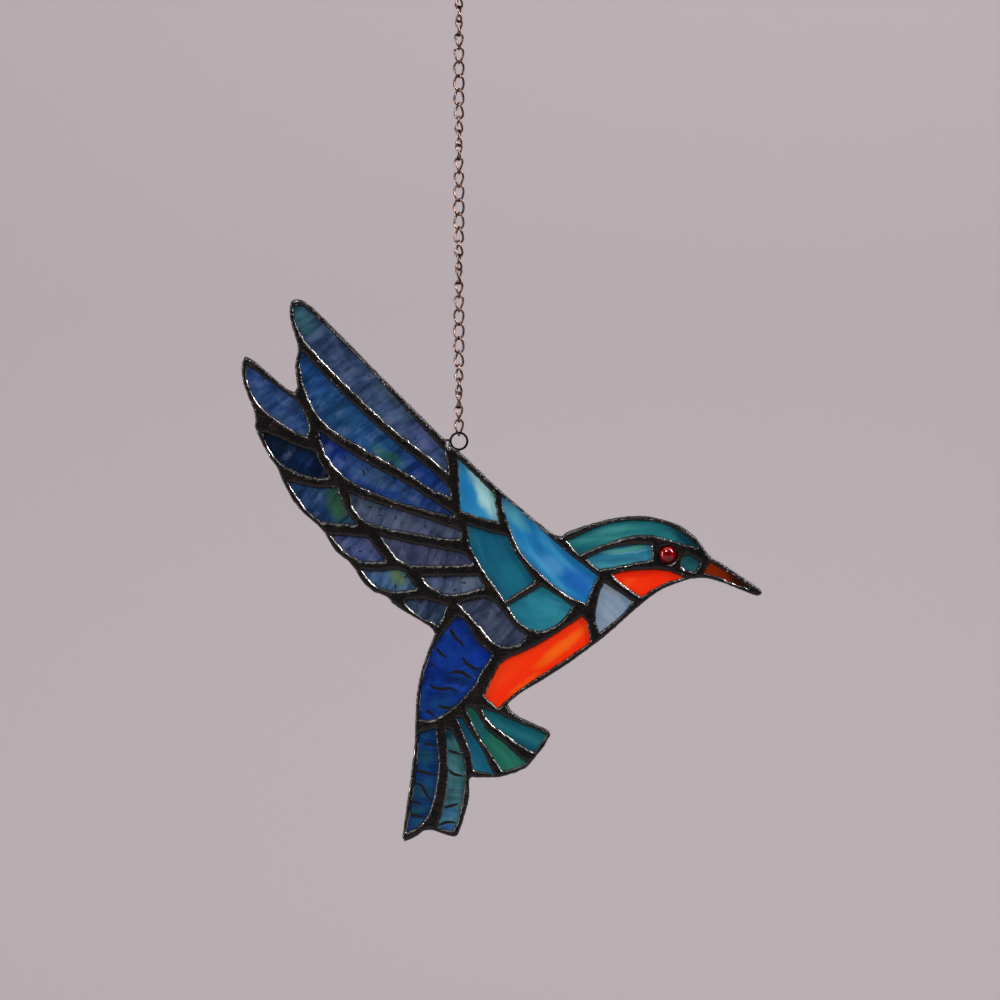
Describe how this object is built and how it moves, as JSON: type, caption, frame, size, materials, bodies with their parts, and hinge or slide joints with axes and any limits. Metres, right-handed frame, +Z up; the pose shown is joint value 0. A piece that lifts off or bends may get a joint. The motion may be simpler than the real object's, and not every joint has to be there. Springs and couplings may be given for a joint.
{
  "type": "stained glass suncatcher",
  "caption": "Flat bird of soldered glass panes with a domed eye, hung by a ring and a fine curb chain from a wire S-hook, to catch light in a window.",
  "frame": {"origin": "inner top of the hook's open bend, where it bears on what holds it", "axes": "+X to the bird's head, +Y to the back of the panel, +Z up"},
  "size_m": [0.1925, 0.0068, 0.3386],
  "materials": {
    "slate_glass": "glossy streaky art glass",
    "blue_glass": "glossy streaky art glass",
    "navy_glass": "glossy streaky art glass",
    "grey_blue_glass": "glossy streaky art glass",
    "azure_glass": "glossy streaky art glass",
    "teal_glass": "glossy streaky art glass",
    "pale_glass": "glossy streaky art glass",
    "orange_glass": "glossy streaky art glass",
    "brown_glass": "glossy streaky art glass",
    "cobalt_glass": "glossy streaky art glass",
    "sea_glass": "glossy streaky art glass",
    "red_glass": "glossy streaky art glass",
    "solder": "solder with a glossy black patina, bright at worn edges",
    "ring_wire": "blackened wire",
    "chain_wire": "dark antique bronze plate"
  },
  "bodies": {
    "root": {"wing_feather_1": "slate_glass", "wing_feather_2": "blue_glass", "wing_feather_3": "blue_glass", "wing_feather_4": "slate_glass", "wing_feather_5": "slate_glass", "wing_feather_6": "slate_glass", "wing_tip_1": "blue_glass", "wing_tip_2": "navy_glass", "wing_tip_3": "slate_glass", "wing_tip_4": "slate_glass", "wing_tip_5": "teal_glass", "wing_tip_6": "navy_glass", "wing_covert": "grey_blue_glass", "shoulder_1": "azure_glass", "shoulder_2": "teal_glass", "shoulder_3": "teal_glass", "back": "azure_glass", "neck": "pale_glass", "belly": "orange_glass", "throat": "orange_glass", "crown": "teal_glass", "cheek": "teal_glass", "lore": "sea_glass", "beak": "brown_glass", "rump": "cobalt_glass", "tail_feather_1": "cobalt_glass", "tail_feather_2": "sea_glass", "tail_fan_1": "sea_glass", "tail_fan_2": "sea_glass", "tail_fan_3": "sea_glass", "eye": "red_glass", "solder_lines": "solder", "hanging_ring": "ring_wire", "chain": "chain_wire", "hook": "chain_wire"}
  },
  "joints": []
}
